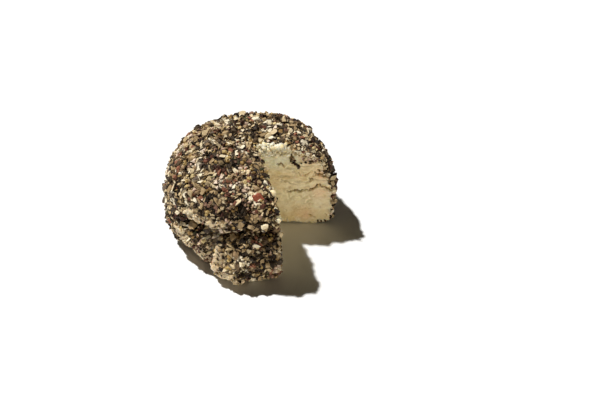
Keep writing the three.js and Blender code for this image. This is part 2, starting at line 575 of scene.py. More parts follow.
@dataclass
class Cheese:
    """The soft cheese: its outside carries the coat, and its two cut faces are bare."""

    voxel: float = 0.72
    swell: float = 1.2  # how far its outside reaches into the coat
    hang: float = 2.6  # how far a fold's lip reaches, in widths of the fold
    lobe_azimuth: float = -150.0
    lobe_lift: float = 4.0
    settle: float = 0.75  # how far its foot is lowered towards the floor
    floor_gap: float = 0.3
    relief: Relief = Relief()
    belt: tuple = (25.0, 31.0, 44.0, 49.0)  # the heights where the cut faces are stringiest
    corner_reach: float = 3.0  # how far from the heart's line still counts as cut
    corner_top: float = 57.0
    blot_reach: float = 3.0  # how far from the visible face its blots still show
    torn_run: tuple = (1.0, 4.0, 15.0, 19.0)  # where the torn curd starts and ends along the cut
    torn_height: tuple = (52.0, 55.5)
    creases: tuple = (
        Crease((-147, 31.0), (-73, 37.0), 5.6, 2.0, 2.2),
        Crease((-120, 32), (-126, 3), 4.8, 2.3),
        Crease((-94, 40), (-90, 51), 1.8, 1.6),
        Crease((150, 22), (95, 30), 1.8, 1.8, 0.6),
        Crease((62, 12), (20, 17), 1.4, 1.6, 0.4),
    )
    bare: tuple = (
        Patch(-142, 37.5, 4.2), Patch(-134, 38.3, 4.6), Patch(-125, 38.8, 4.6),
        Patch(-115, 39.6, 3.6, 0.8), Patch(-104, 33.5, 3.0, 0.8), Patch(-154, 20, 6.0, 0.8),
        Patch(-148, 13, 8.5, 0.9), Patch(-134, 9, 8.0, 0.9), Patch(-118, 20, 7.5, 0.9),
        Patch(-113, 11, 9.5), Patch(-104, 4, 6.5, 0.9), Patch(-117, 27, 4.0, 0.8),
        Patch(165, 12, 7.0, 0.8), Patch(75, 18, 6.0, 0.8), Patch(40, 30, 4.5, 0.6),
        Patch(120, 44, 5.0, 0.6),
    )
    flushes: tuple = ((35.1, 24.5, 5.0), (36.5, 38.5, 4.5), (30.0, 50.5, 5.0), (28.0, 8.0, 5.0))
    pallor: tuple = (11.0, 50.0, 8.5)  # the whitish place under the torn curd, cooled and greyed as painted shade
    streaks: tuple = (
        Streak(0, ((17.1, 25.2), (19.3, 25.0), (21.6, 26.3), (23.8, 25.0), (28.3, 26.2),
                   (32.8, 27.4), (34.3, 30.6), (37.1, 29.7), (39.1, 28.8), (41.2, 26.6)),
               1.7, 0.42),
        Streak(0, ((14.1, 33.6), (16.3, 33.3), (18.6, 31.9)), 0.7, 0.5),
        Streak(0, ((29.3, 35.4), (30.5, 34.4), (31.8, 34.8)), 0.9, 0.5),
        Streak(0, ((24.5, 33.5), (28.0, 32.2), (30.6, 34.4), (32.2, 39.0)), 0.5, 0.5),
        Streak(0, ((32.7, 39.6), (35.0, 38.5), (37.9, 37.4), (41.0, 36.6)), 1.6, 0.5),
        Streak(0, ((34.3, 41.7), (37.9, 41.4)), 1.1, 0.5),
        Streak(0, ((17.6, 43.0), (22.2, 40.8), (24.5, 38.0)), 0.5, 0.4),
        Streak(0, ((24.0, 41.0), (28.0, 38.5), (31.0, 41.5)), 0.5, 0.4),
        Streak(0, ((11.9, 45.3), (13.8, 45.8), (15.6, 44.1)), 1.7, 0.5),
        Streak(0, ((22.6, 10.6), (26.0, 11.8), (30.5, 12.3)), 0.55, 0.3),
        Streak(0, ((17.7, 22.8), (18.7, 19.0), (21.7, 22.4), (26.3, 19.8)), 0.45, 0.6),
        Streak(0, ((26.3, 19.8), (29.5, 23.2), (30.8, 20.2), (28.1, 16.8)), 0.4, 0.6),
        Streak(0, ((33.0, 22.5), (36.0, 24.6), (38.5, 22.0)), 0.4, 0.5),
        Streak(0, ((29.4, 6.6), (30.8, 6.5)), 1.0, 0.45),
        Streak(0, ((39.0, 7.6), (40.0, 7.4)), 0.8, 0.4),
        Streak(0, ((16.2, 10.2), (16.6, 10.8)), 0.6, 0.35),
        Streak(1, ((12.0, 34.0), (19.0, 30.5), (27.0, 33.0), (36.0, 35.5)), 1.4, 0.5),
        Streak(1, ((20.0, 18.0), (24.0, 17.0), (27.5, 18.5), (31.0, 16.0)), 0.6, 0.4),
        Streak(1, ((8.0, 47.0), (14.0, 45.0), (20.0, 47.5)), 0.8, 0.45),
        Streak(1, ((30.0, 26.0), (35.0, 23.5), (39.0, 25.0)), 0.6, 0.5),
    )
    planes: list = field(default_factory=list)
    piece: bpy.types.Object = None
    side: BVHTree = None
    lines: list = field(default_factory=list)
    cut: np.ndarray = None  # which vertices the knife left
    rim: np.ndarray = None  # how far each of them is from the coat

    def build(self, finish: bpy.types.Material) -> bpy.types.Object:
        """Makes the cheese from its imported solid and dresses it."""
        solid = bpy.data.objects["cheese_paste"]
        self.planes = cut_planes(solid)
        self.piece = new_object("cheese_body", self._scaled_copy(solid))
        remesh = self.piece.modifiers.new("remesh", "REMESH")
        remesh.mode = "VOXEL"
        remesh.voxel_size = self.voxel * MM
        seen = self.piece.evaluated_get(bpy.context.evaluated_depsgraph_get())
        finished = bpy.data.meshes.new_from_object(seen)
        self.piece.modifiers.clear()
        self.piece.data = finished
        self._shape()
        self._refine_cut_faces()
        self._roughen()
        self.piece.data.shade_smooth()
        self.piece.data.materials.clear()
        self.piece.data.materials.append(finish)
        return self.piece

    def heart(self) -> np.ndarray:
        """The place where the two cuts meet, half-way up."""
        first, second = self.planes
        flat = np.array([first.normal[:2], second.normal[:2]])
        level = np.array([first.normal @ first.point, second.normal @ second.point])
        x, y = np.linalg.solve(flat, level)
        low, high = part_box("cheese_paste")
        return np.array([x, y, (low[2] + high[2]) / 2 / MM])

    def _scaled_copy(self, solid: bpy.types.Object) -> bpy.types.Mesh:
        """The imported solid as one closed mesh, grown about the line where the cuts meet."""
        mesh = bpy.data.meshes.new("cheese_body")
        bm = bmesh.new()
        bm.from_mesh(solid.data)
        bmesh.ops.remove_doubles(bm, verts=bm.verts, dist=1e-6)
        low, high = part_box("cheese_paste")
        growth = [1.0 + 2.0 * self.swell * MM / (b - a) for a, b in zip(low, high)]
        side = (growth[0] + growth[1]) / 2
        centre = Matrix.Translation(Vector(-self.heart() * MM))
        bmesh.ops.scale(bm, vec=(side, side, growth[2]), space=centre, verts=bm.verts)
        self.side = BVHTree.FromBMesh(bm)
        bm.to_mesh(mesh)
        bm.free()
        return mesh

    def on_cut(self, places: np.ndarray, reach: float = 0.35) -> np.ndarray:
        """Whether each place lies on a cut face.

        Args:
            places: Places in millimetres, one a row.
            reach: How far from the face still counts.

        Returns:
            True or False for each place.
        """
        near, far = (plane.above(places) for plane in self.planes)
        on_near = (np.abs(near) < reach) & (far > -reach)
        on_far = (np.abs(far) < reach) & (near > -reach)
        return on_near | on_far

    def _kept_flat(self, places: np.ndarray, moves: np.ndarray) -> np.ndarray:
        """Changes moves of the outside so that the cut faces stay flat and follow at their rims.

        Args:
            places: The vertices before they move.
            moves: How the outside would move each of them.

        Returns:
            The moves to make.
        """
        cut = self.on_cut(places)
        rind = np.flatnonzero(~cut)
        tree = finder(places, rind)
        moves = moves.copy()
        for index in np.flatnonzero(cut):
            _, number, apart = tree.find(places[index])
            moves[index] = moves[rind[number]] * math.exp(-(apart / 5.0) ** 2)
        for plane, other in zip(self.planes, reversed(self.planes)):
            close = bell(plane.above(places) / 1.5)
            close = close * (other.above(places) > -1.0)
            moves -= (close * (moves @ plane.normal))[:, None] * plane.normal
        return moves

    def _shape(self) -> None:
        """Presses in the folds, and gives the outside its soft lumps and its lifted lobe."""
        mesh = self.piece.data
        places, normals = vertices(mesh)
        relief = self.relief
        out = relief.swells * Pattern.SWELLS.at(places) + relief.dents * Pattern.DENTS.at(places)
        self.lines = [crease.line(self.side) for crease in self.creases]
        for crease, line in zip(self.creases, self.lines):
            away = places[:, None, :] - line[None, :, :]
            apart = np.linalg.norm(away, axis=2)
            nearest = apart.argmin(axis=1)
            gap = apart.min(axis=1)
            above = away[np.arange(len(places)), nearest, 2]
            out -= crease.depth * bell(gap / crease.width)
            hang = bell(gap / (self.hang * crease.width))
            out += crease.lip * hang * np.tanh(above / 1.2)
        streaky = Pattern.RUBBED.at(places * np.array([1.0, 1.0, 1.7]))
        raised = relief.rubbed + relief.rubbed_streaks * streaky
        out += fade(self.bareness(places), 0.2, 0.6) * raised
        places += self._kept_flat(places, normals * out[:, None])
        azimuth = np.degrees(np.arctan2(places[:, 1], places[:, 0]))
        radius = np.linalg.norm(places[:, :2], axis=1)
        lobe = bell((azimuth - self.lobe_azimuth) / 17.0) * fade(radius, 26.0, 40.0)
        places[:, 2] += self.lobe_lift * lobe * (1.0 - fade(places[:, 2], 4.0, 22.0))
        move_vertices(mesh, places)

    def _refine_cut_faces(self) -> None:
        """Splits the faces that the knife left, so that they can hold finer relief."""
        mesh = self.piece.data
        cut = self.on_cut(vertices(mesh)[0], 0.5)
        bm = bmesh.new()
        bm.from_mesh(mesh)
        bm.verts.ensure_lookup_table()
        edges = [e for e in bm.edges if cut[e.verts[0].index] and cut[e.verts[1].index]]
        bmesh.ops.subdivide_edges(bm, edges=edges, cuts=1, use_grid_fill=True)
        bmesh.ops.triangulate(bm, faces=[f for f in bm.faces if len(f.verts) > 4])
        bm.to_mesh(mesh)
        bm.free()

    def _roughen(self) -> None:
        """Gives the cut faces their crumbly edges, pits, cracks and knife marks."""
        mesh = self.piece.data
        places, normals = vertices(mesh)
        along = np.linalg.norm(places[:, :2] - self.heart()[:2], axis=1)
        corner = (along < self.corner_reach) & (places[:, 2] < self.corner_top)
        cut = self.on_cut(places, 0.45) | corner
        tree = finder(places, np.flatnonzero(~cut))
        depth = np.zeros(len(places))
        for index in np.flatnonzero(cut):
            depth[index] = tree.find(places[index])[2]
        self.cut, self.rim = cut, depth
        loose = fade(places[:, 2], 46.0, 56.0) * bell((along - 9.0) / 10.0)
        crumbly = np.where(cut, 1.0 - fade(depth, 0.6, 5.0 + 9.0 * loose), 1.0)
        curd = Pattern.CURD.at(places)
        fine = Pattern.FINE.at(places)
        relief = self.relief
        grainy = relief.smooth + relief.crumbly * crumbly
        out = cut * grainy * (curd * relief.curd + fine * relief.fine)
        out += cut * relief.waves * Pattern.WAVES.at(places) * (1.0 - crumbly)
        strings = Pattern.STRINGS.at(places * np.array([0.3, 0.3, 1.0]))
        belt = band(places[:, 2], self.belt)
        out += cut * (relief.strings + relief.belt_strings * belt) * strings
        pits = fade(Pattern.PITS.at(places), 0.42, 0.60)
        out -= cut * relief.pits * pits * (0.2 + 0.8 * crumbly)
        cracks, crack_shade = self._cracks(places, along)
        out -= cut * cracks
        torn = self.torn(places)
        places += normals * out[:, None]
        pushed = torn * (relief.pushed_out + Pattern.PUSHED_OUT.at(places))
        places += self.planes[0].normal * pushed[:, None]
        places[:, 2] -= self.settle * (1.0 - fade(places[:, 2], 1.0, 6.0))
        places[:, 2] = np.maximum(places[:, 2], self.floor_gap)
        move_vertices(mesh, places)
        bare = self.bareness(places) + 0.3 * Pattern.BARE_EDGE.at(places)
        curdy = fade(torn, 0.3, 0.6)
        paint(mesh, "rind", np.where(cut, 0.0, (1.0 - fade(bare, 0.3, 0.5)) * (1.0 - curdy)))
        paint(mesh, "crumbly", crumbly)
        paint(mesh, "outer", ~cut * (1.0 - curdy))
        spots = fade(Pattern.SPOTS.at(places * np.array([1.0, 1.0, 0.5])), 0.40, 0.75)
        # Real brown spots, plus painted shade in the pits, at the crack bottoms and in the belt's
        # string grooves.
        stain = 0.35 * spots * crumbly + 0.25 * pits + 0.85 * crack_shade
        stain += 0.3 * belt * fade(-strings, 0.25, 0.6)
        paint(mesh, "stain", cut * np.clip(stain, 0.0, 0.9))
        mine = cut * (np.abs(self.planes[0].above(places)) < self.blot_reach)
        flush = sum(self._blot(along, places[:, 2], *flush) for flush in self.flushes)
        paint(mesh, "flush", mine * np.clip(flush, 0.0, 1.0))
        # Whitish curd under the torn rim, with a cool grey of painted shade.
        paint(mesh, "pallor", mine * self._blot(along, places[:, 2], *self.pallor))

    @staticmethod
    def _blot(along: np.ndarray, height: np.ndarray, a: float, b: float,
              reach: float) -> np.ndarray:
        """A soft round blot on the cut faces, by distance from the heart and height."""
        return np.exp(-((along - a) ** 2 + (height - b) ** 2) / reach ** 2)

    def bareness(self, places: np.ndarray) -> np.ndarray:
        """How bare of crumbs, and rubbed with cheese, the outside is at each place."""
        bare = np.zeros(len(places))
        for patch in self.bare:
            bare = np.maximum(bare, patch.share(places, self.side))
        return bare

    def torn(self, places: np.ndarray) -> np.ndarray:
        """How much each place belongs to the torn-up curd at the visible cut's upper rim."""
        normal = self.planes[0].normal
        along = (places - self.heart()) @ np.array([-normal[1], normal[0], 0.0])
        ragged = Pattern.TORN_EDGE.at(places)
        behind = -self.planes[0].above(places)
        close = (1.0 - fade(behind + ragged, 0.8, 1.8)) * (behind > -3.0)
        run = band(along + ragged, self.torn_run)
        return close * run * fade(places[:, 2] + ragged, *self.torn_height)

    def in_fold(self, places: np.ndarray) -> np.ndarray:
        """How deep in a fold each place is, from 0 outside to 1 along its line."""
        deepest = np.zeros(len(places))
        for crease, line in zip(self.creases, self.lines):
            lowered = line * np.array([0.94, 0.94, 1.0])
            gap = np.linalg.norm(places[:, None] - lowered[None], axis=2).min(axis=1)
            deepest = np.maximum(deepest, min(crease.depth / 4.0, 1.0) * bell(gap / 2.2))
        return deepest

    def _cracks(self, places: np.ndarray, along: np.ndarray) -> tuple:
        """How deep the cracks across the cut faces are, and how dark their bottoms are, which is
        painted shade.
        """
        depth = np.zeros(len(places))
        dark = np.zeros(len(places))
        ragged = 0.6 + 0.9 * np.abs(Pattern.CRACK_WIDTH.at(places))
        for streak in self.streaks:
            mine = np.abs(self.planes[streak.face].above(places)) < 0.9
            gap = streak.gap(along[mine], places[mine, 2]) / (1.25 * streak.width * ragged[mine])
            cut = streak.depth * bell(gap)
            depth[mine] += cut - 0.1 * streak.depth * bell(gap - 2.2)
            dark[mine] = np.maximum(dark[mine], fade(cut, 0.25, 1.2))
        return depth, dark

    def on_face(self, face: int, along: float, height: float) -> Vector:
        """A place on a cut face, by distance from the heart and height, in millimetres."""
        heart, plane = self.heart(), self.planes[face]
        outwards = np.array([-plane.normal[1], plane.normal[0], 0.0])
        outwards *= -1.0 if self.planes[1 - face].above(heart + outwards) < 0.0 else 1.0
        return Vector((heart[0] + outwards[0] * along, heart[1] + outwards[1] * along, height))


@dataclass(frozen=True)
class CrumbKind:
    """One kind of crumb in the coat: how it is broken, how large it is and how it lies."""

    name: str
    shape: Shape
    length: tuple  # shortest and longest, in millimetres
    share: float  # of the layer it belongs to
    sink: float  # how much of its thickness is pressed into the cheese
    finish: CrumbFinish
    patchy: float = 0.0  # how strongly it gathers in patches
    tone: float = 0.0  # how strongly it is drawn to the pale patches, or to the dark if negative


@dataclass(frozen=True)
class Drag:
    """Crumbs that the knife dragged on to a cut face, strewn about a place on it.

    Its place is a distance from the heart and a height, and the first face is number 0.
    """

    kind: CrumbKind
    face: int
    along: float
    height: float
    reach: tuple
    number: int

    def strew(self, cheese: Cheese, rng: np.random.Generator) -> tuple:
        """Places on the face, and the direction out of it at each."""
        spread = rng.normal(0.0, 1.0, (self.number, 2)) * np.array(self.reach)
        places = [cheese.on_face(self.face, self.along + a, max(self.height + b, 0.8))
                  for a, b in spread]
        return np.array(places), np.tile(cheese.planes[self.face].normal, (self.number, 1))


@dataclass(frozen=True)
class Stray:
    """One given crumb on the side, by azimuth and height, and how far it stands out."""

    kind: CrumbKind
    azimuth: float
    height: float
    stand: float = 0.6

    def strew(self, cheese: Cheese, rng: np.random.Generator) -> tuple:
        """Its place and the direction out of the side there."""
        place = on_side(cheese.side, self.azimuth, self.height)
        outwards = place * LEVEL
        outwards /= np.linalg.norm(outwards)
        return (place + outwards * self.stand)[None], outwards[None]


def broken_shape(shape: Shape, rng: np.random.Generator) -> tuple:
    """Shapes one crumb about 1 long, out of a few dozen faces.

    Args:
        shape: How it is broken.
        rng: The random numbers to use.

    Returns:
        Its corner places, its triangles, and for each triangle 1 where it is broken open.
    """
    bm = bmesh.new()
    soft, husk = shape in (Shape.LUMP, Shape.SMEAR), shape is Shape.HUSK
    bmesh.ops.create_icosphere(bm, subdivisions=2 if soft else 1, radius=0.5)
    if shape in (Shape.CHIP, Shape.CRUMB):
        bmesh.ops.subdivide_edges(bm, edges=bm.edges[:5], cuts=1, smooth=0.5)
    uneven = 0.1 if soft else 0.24
    for vert in bm.verts:
        vert.co *= 1.0 + rng.uniform(-uneven, uneven)
    opened = bm.faces.layers.int.new("opened")
    cuts = shape.value[0]
    for _ in range(cuts):
        towards = Vector(rng.normal(size=3)).normalized()
        nearness = rng.uniform(0.0, 0.1) if husk else rng.uniform(0.07, 0.27)
        bmesh.ops.bisect_plane(
            bm, geom=bm.verts[:] + bm.edges[:] + bm.faces[:], plane_co=towards * nearness,
            plane_no=towards, clear_outer=True)
        if not husk:
            rim = [edge for edge in bm.edges if edge.is_boundary]
            for face in bmesh.ops.holes_fill(bm, edges=rim, sides=0)["faces"]:
                face[opened] = 1
    if husk:
        bmesh.ops.solidify(bm, geom=list(bm.faces), thickness=0.09)
    if shape in (Shape.CRUMB, Shape.FLECK):
        for face in bm.faces:
            face[opened] = 1
    # Every shape's stretch is drawn, so that the draws that follow are the same for all of them.
    drawn = {kind: (1.0, *(rng.uniform(*ends) for ends in kind.value[1:])) for kind in Shape}
    bmesh.ops.scale(bm, vec=drawn[shape], verts=bm.verts)
    bmesh.ops.triangulate(bm, faces=bm.faces[:])
    bmesh.ops.recalc_face_normals(bm, faces=bm.faces[:])
    bm.verts.index_update()
    corners = np.array([vert.co for vert in bm.verts])
    faces = np.array([[vert.index for vert in face.verts] for face in bm.faces])
    core = np.array([face[opened] for face in bm.faces], float)
    bm.free()
    middle = (corners.max(axis=0) + corners.min(axis=0)) / 2
    extent = np.ptp(corners, axis=0).max()
    return (corners - middle) / extent, faces, core


@dataclass
class Outside:
    """The cheese's outer surface, as triangles to scatter crumbs over."""

    corners: np.ndarray
    normals: np.ndarray
    areas: np.ndarray

    @classmethod
    def of(cls, cheese: Cheese) -> "Outside":
        """Reads the finished cheese's rind, with the thickness of the coat at the cuts' rims."""
        mesh = cheese.piece.data
        mesh.calc_loop_triangles()
        flat = np.empty(len(mesh.loop_triangles) * 3, np.int32)
        mesh.loop_triangles.foreach_get("vertices", flat)
        places, normals = vertices(mesh)
        triangles = flat.reshape(-1, 3)
        inside = cheese.cut & (cheese.rim > 1.3 * fade(places[:, 2], 2.0, 6.0))
        inside |= cheese.torn(places) > 0.35
        for plane in cheese.planes:
            inside |= (places[:, 2] < 2.4) & (np.abs(plane.above(places)) < 1.5)
        triangles = triangles[~inside[triangles].any(axis=1)]
        corners = places[triangles]
        cross = np.cross(corners[:, 1] - corners[:, 0], corners[:, 2] - corners[:, 0])
        return cls(corners, normals[triangles].mean(axis=1), np.linalg.norm(cross, axis=1) / 2)

    def scatter(self, spacing: float, rng: np.random.Generator) -> tuple:
        """Places spread over the outside, one in each small cell.

        Args:
            spacing: The cell's size, in millimetres.
            rng: The random numbers to use.

        Returns:
            The places and the outward direction at each.
        """
        tries = int(self.areas.sum() / spacing ** 2 * 7)
        chosen = rng.choice(len(self.areas), tries, p=self.areas / self.areas.sum())
        weights = rng.dirichlet((1.0, 1.0, 1.0), tries)
        places = np.einsum("nk,nkj->nj", weights, self.corners[chosen])
        cell = np.floor(places / spacing).astype(int)
        kept = np.sort(np.unique(cell, axis=0, return_index=True)[1])
        normals = self.normals[chosen[kept]]
        return places[kept], normals / np.linalg.norm(normals, axis=1)[:, None]


def turned(normals: np.ndarray, tilt: float, rng: np.random.Generator) -> np.ndarray:
    """Random rotations whose third axis stays near each normal.

    Args:
        normals: Outward directions, one a row.
        tilt: How far the third axis may lean.
        rng: The random numbers to use.

    Returns:
        One rotation matrix a row, with the axes as columns.
    """
    third = normals + rng.normal(0.0, tilt, normals.shape)
    third /= np.linalg.norm(third, axis=1)[:, None]
    first = np.cross(third, rng.normal(size=normals.shape))
    first /= np.linalg.norm(first, axis=1)[:, None]
    return np.stack([first, np.cross(third, first), third], axis=2)


@dataclass
class Coat:
    """The coat: crumbs of every kind, pressed on to the outside of the cheese."""

    outside: Outside
    cheese: Cheese
    layers: tuple
    drags: tuple
    strays: tuple
    variants: int = 10
    seed: int = 20
    coarse: Patch = Patch(-98, 16, 20)
    coarseness: float = 0.2  # how much longer crumbs are there
    bulk: float = 0.65  # a crumb's thickness, in lengths
    thinned: float = 0.55  # the share of crumbs that is missing where the cheese is bare
    buried: float = 0.32  # how much deeper crumbs lie there, in lengths
    bare_ends: tuple = (0.15, 0.5)  # of bareness, from covered to bare
    tones: tuple = (
        Patch(-160, 57.5, 5.0, -1.0), Patch(-118, 58.0, 4.5, -1.0), Patch(21, 54.0, 8.0, -1.3),
        Patch(38, 57.0, 8.0, -1.0), Patch(78, 57.0, 5.0, -0.9), Patch(168, 57.5, 5.0, -0.9),
        Patch(-131, 44.0, 6.0, -0.8), Patch(-155, 45.0, 5.0, -0.8), Patch(0, 40.0, 7.0, -1.3),
        Patch(2, 29.0, 6.0, -1.0), Patch(-88, 20.0, 6.0, -0.8), Patch(-99, 24.0, 4.0, -1.0),
        Patch(-177, 57.0, 5.5, 1.1), Patch(-140, 56.0, 5.5, 1.1), Patch(161, 48.0, 5.0, 0.6),
        Patch(116, 56.5, 6.0, 0.8), Patch(-84, 58.0, 4.5, 0.9), Patch(-104, 34.0, 4.0, 1.2),
        Patch(-172, 33.0, 15.0, -2.2), Patch(8, 14.0, 7.0, 0.9), Patch(-110, 46.0, 7.0, -0.5),
    )

    def build(self, dust: bpy.types.NodeTree) -> list:
        """Makes one piece of each kind of crumb, and returns them."""
        rng = np.random.default_rng(self.seed)
        pieces = []
        for spacing, tilt, kinds in self.layers:
            places, normals = self.outside.scatter(spacing, rng)
            # No crumbs are left deep in the folds, so the dark crumb bed shows there as painted
            # shade.
            fold = fade(self.cheese.in_fold(places), 0.3, 0.7)
            bare = fade(self.cheese.bareness(places), *self.bare_ends)
            empty = np.maximum(self.thinned * bare, fold)
            thin = rng.uniform(0.0, 1.0, len(places)) > empty
            places, normals = places[thin], normals[thin]
            owner = self._share_out(places, kinds, rng)
            for number, kind in enumerate(kinds):
                mine = owner == number
                pieces.append(self._stamp(kind, kind.name, places[mine], normals[mine], tilt, rng,
                                          dust))
        for prefix, marks, scale in (("dragged_", self.drags, 0.68), ("set_", self.strays, 1.0)):
            for kind in dict.fromkeys(mark.kind for mark in marks):
                found = [mark.strew(self.cheese, rng) for mark in marks if mark.kind is kind]
                places, normals = (np.concatenate(part) for part in zip(*found))
                name = prefix + kind.name
                pieces.append(self._stamp(kind, name, places, normals, 0.5, rng, dust, scale))
        return pieces

    def _share_out(self, places: np.ndarray, kinds: tuple, rng: np.random.Generator) -> np.ndarray:
        """Which kind of crumb lies at each place."""
        tone = sum(patch.share(places, self.cheese.side) for patch in self.tones)
        tone = tone + 1.5 * Pattern.TONE.at(places) - 0.1
        weights = []
        for number, kind in enumerate(kinds):
            patches = Pattern.KIND.at(places, number)
            weights.append(kind.share * np.exp(kind.patchy * patches + kind.tone * tone))
        odds = np.cumsum(np.array(weights).T, axis=1)
        draw = rng.uniform(0.0, 1.0, len(places)) * odds[:, -1]
        return (draw[:, None] > odds).sum(axis=1)

    def _stamp(self, kind: CrumbKind, name: str, places: np.ndarray, normals: np.ndarray,
               tilt: float, rng: np.random.Generator, dust: bpy.types.NodeTree,
               scale: float = 1.0) -> bpy.types.Object:
        """Presses copies of a kind's broken shapes on to the cheese, as one piece."""
        shapes = [broken_shape(kind.shape, rng) for _ in range(self.variants)]
        low, high = kind.length
        lengths = low + (high - low) * rng.beta(1.4, 2.4, len(places))
        lengths *= scale * (1.0 + self.coarseness * self.coarse.share(places, self.cheese.side))
        turns = turned(normals, tilt, rng)
        stand = lengths * self.bulk * (0.5 - kind.sink)
        stand -= self.buried * lengths * fade(self.cheese.bareness(places), *self.bare_ends)
        centres = places + normals * stand[:, None]
        mesh = stamped_mesh(name, shapes, centres, turns, lengths, rng)
        mesh.materials.append(kind.finish.make(dust))
        piece = new_object(name, mesh)
        log.info("%s: %d crumbs, %d triangles", name, len(places), len(mesh.polygons))
        return piece


def stamped_mesh(name: str, shapes: list, places: np.ndarray, turns: np.ndarray,
                 lengths: np.ndarray, rng: np.random.Generator) -> bpy.types.Mesh:
    """Copies broken shapes to many places, as one mesh that stays above the floor.

    Args:
        name: The mesh's name.
        shapes: Corners, triangles and open faces of each shape, about 1 long.
        places: Where each copy goes, in millimetres.
        turns: How each copy is turned.
        lengths: How long each copy is, in millimetres.
        rng: The random numbers to use.

    Returns:
        The mesh, with each face's tint and whether it is broken open, and a map for bakes.
    """
    which = rng.integers(0, len(shapes), len(places))
    gather = TINT_GATHER * Pattern.TINT.at(places)
    own = rng.uniform(-TINT_SPREAD, TINT_SPREAD, len(places))
    tints = np.clip(0.5 + gather + own, 0.0, 1.0)
    most = max(len(faces) for _, faces, _ in shapes)
    corners, triangles, core, tint, cells = [], [], [], [], []
    total = 0
    for number, (shape, faces, opened) in enumerate(shapes):
        mine = np.flatnonzero(which == number)
        local = shape[None] * lengths[mine, None, None]
        placed = np.einsum("nij,nkj->nki", turns[mine], local) + places[mine, None, :]
        lowest = placed[:, :, 2].min(axis=1, initial=0.0)
        sunk = np.minimum(lowest - CRUMB_FLOOR_GAP, 0.0)
        placed[:, :, 2] -= sunk[:, None]
        corners.append(placed.reshape(-1, 3))
        starts = total + np.arange(len(mine)) * len(shape)
        triangles.append((faces[None] + starts[:, None, None]).reshape(-1, 3))
        core.append(np.tile(opened, len(mine)))
        tint.append(np.repeat(tints[mine], len(faces)))
        cells.append((mine[:, None] * most + np.arange(len(faces))[None]).ravel())
        total += len(mine) * len(shape)
    mesh = bpy.data.meshes.new(name)
    mesh.from_pydata((np.concatenate(corners) * MM).tolist(), [],
                     np.concatenate(triangles).tolist())
    paint(mesh, "core", np.concatenate(core), "FACE")
    paint(mesh, "tint", np.concatenate(tint), "FACE")
    lay_out_map(mesh, np.concatenate(cells), len(places) * most)
    return mesh


def lay_out_map(mesh: bpy.types.Mesh, cell: np.ndarray, cells: int) -> None:
    """Gives every triangle its own half square on the map that bakes use."""
    across = math.ceil(math.sqrt(cells / 2))
    square, upper = cell // 2, cell % 2
    corner = np.stack([square % across, square // across], axis=1)[:, None, :]
    lower_half = np.array([[0.08, 0.08], [0.82, 0.08], [0.08, 0.82]])
    upper_half = np.array([[0.92, 0.92], [0.18, 0.92], [0.92, 0.18]])
    within = np.where(upper[:, None, None] == 1, upper_half[None], lower_half[None])
    layer = mesh.uv_layers.new(name=BAKE_MAP)
    layer.uv.foreach_set("vector", ((corner + within) / across).astype(np.float32).ravel())


BLACK = ((0.0, (0.008, 0.0035, 0.0012)), (0.5, (0.022, 0.010, 0.004)),
         (0.8, (0.045, 0.029, 0.018)), (1.0, (0.11, 0.08, 0.058)))
CREAM = ((0.0, (0.33, 0.23, 0.12)), (0.4, (0.56, 0.44, 0.26)), (0.8, (0.73, 0.62, 0.42)),
         (1.0, (0.83, 0.76, 0.60)))
STRAW = ((0.0, (0.24, 0.16, 0.07)), (0.5, (0.51, 0.40, 0.22)), (1.0, (0.79, 0.70, 0.50)))
GOLD = ((0.0, (0.25, 0.15, 0.05)), (0.5, (0.48, 0.34, 0.13)), (1.0, (0.68, 0.55, 0.29)))
BROWN = ((0.0, (0.022, 0.012, 0.005)), (0.5, (0.095, 0.058, 0.028)), (1.0, (0.31, 0.21, 0.115)))
RUST = ((0.0, (0.04, 0.014, 0.008)), (0.6, (0.13, 0.045, 0.028)), (1.0, (0.29, 0.12, 0.07)))
PINK = ((0.0, (0.20, 0.11, 0.075)), (0.5, (0.50, 0.34, 0.25)), (1.0, (0.79, 0.65, 0.53)))
RED_SKIN = ((0.0, (0.16, 0.035, 0.02)), (0.5, (0.27, 0.065, 0.035)), (1.0, (0.36, 0.11, 0.065)))
GREEN = ((0.0, (0.030, 0.032, 0.012)), (0.6, (0.10, 0.10, 0.042)), (1.0, (0.22, 0.20, 0.09)))

CHIPS = CrumbKind("black_pepper_chips", Shape.CHIP, (1.7, 4.9), 0.34, 0.28,
                  CrumbFinish("black_pepper", BLACK, CREAM, 0.55, 0.2), 4.2, -1.6)
PALE = CrumbKind("white_pepper_crumbs", Shape.CRUMB, (1.6, 4.7), 0.25, 0.28,
                 CrumbFinish("white_pepper", STRAW, CREAM, 0.7, 0.15), 4.0, 2.0)
HUSKS = CrumbKind("brown_husk_flakes", Shape.HUSK, (1.9, 4.8), 0.13, 0.28,
                  CrumbFinish("brown_husk", BROWN, BROWN, 0.65, 0.3), 2.8, -0.6)
RED = CrumbKind("rust_red_chips", Shape.CHIP, (1.6, 4.4), 0.10, 0.28,
                CrumbFinish("rust_red_skin", RUST, RUST, 0.6, 0.2), 4.2, -0.5)
PINKISH = CrumbKind("pink_pepper_crumbs", Shape.CRUMB, (1.5, 4.0), 0.08, 0.28,
                    CrumbFinish("pink_pepper", PINK, PINK, 0.7, 0.15), 4.0, 0.8)
MAIN_KINDS = (
    CHIPS, PALE, HUSKS, RED, PINKISH,
    CrumbKind("golden_seed_bits", Shape.SEED, (1.5, 3.3), 0.07, 0.30,
              CrumbFinish("golden_seed", GOLD, GOLD, 0.55, 0.15), 4.2, 0.5),
    CrumbKind("green_leaf_bits", Shape.SPLINTER, (2.0, 3.8), 0.025, 0.2,
              CrumbFinish("dried_leaf", GREEN, GREEN, 0.75, 0.3), 1.0),
    CrumbKind("dark_splinters", Shape.SPLINTER, (2.2, 4.8), 0.05, 0.2,
              CrumbFinish("dark_splinter", BLACK, BROWN, 0.6, 0.25), 1.0, -1.0),
)
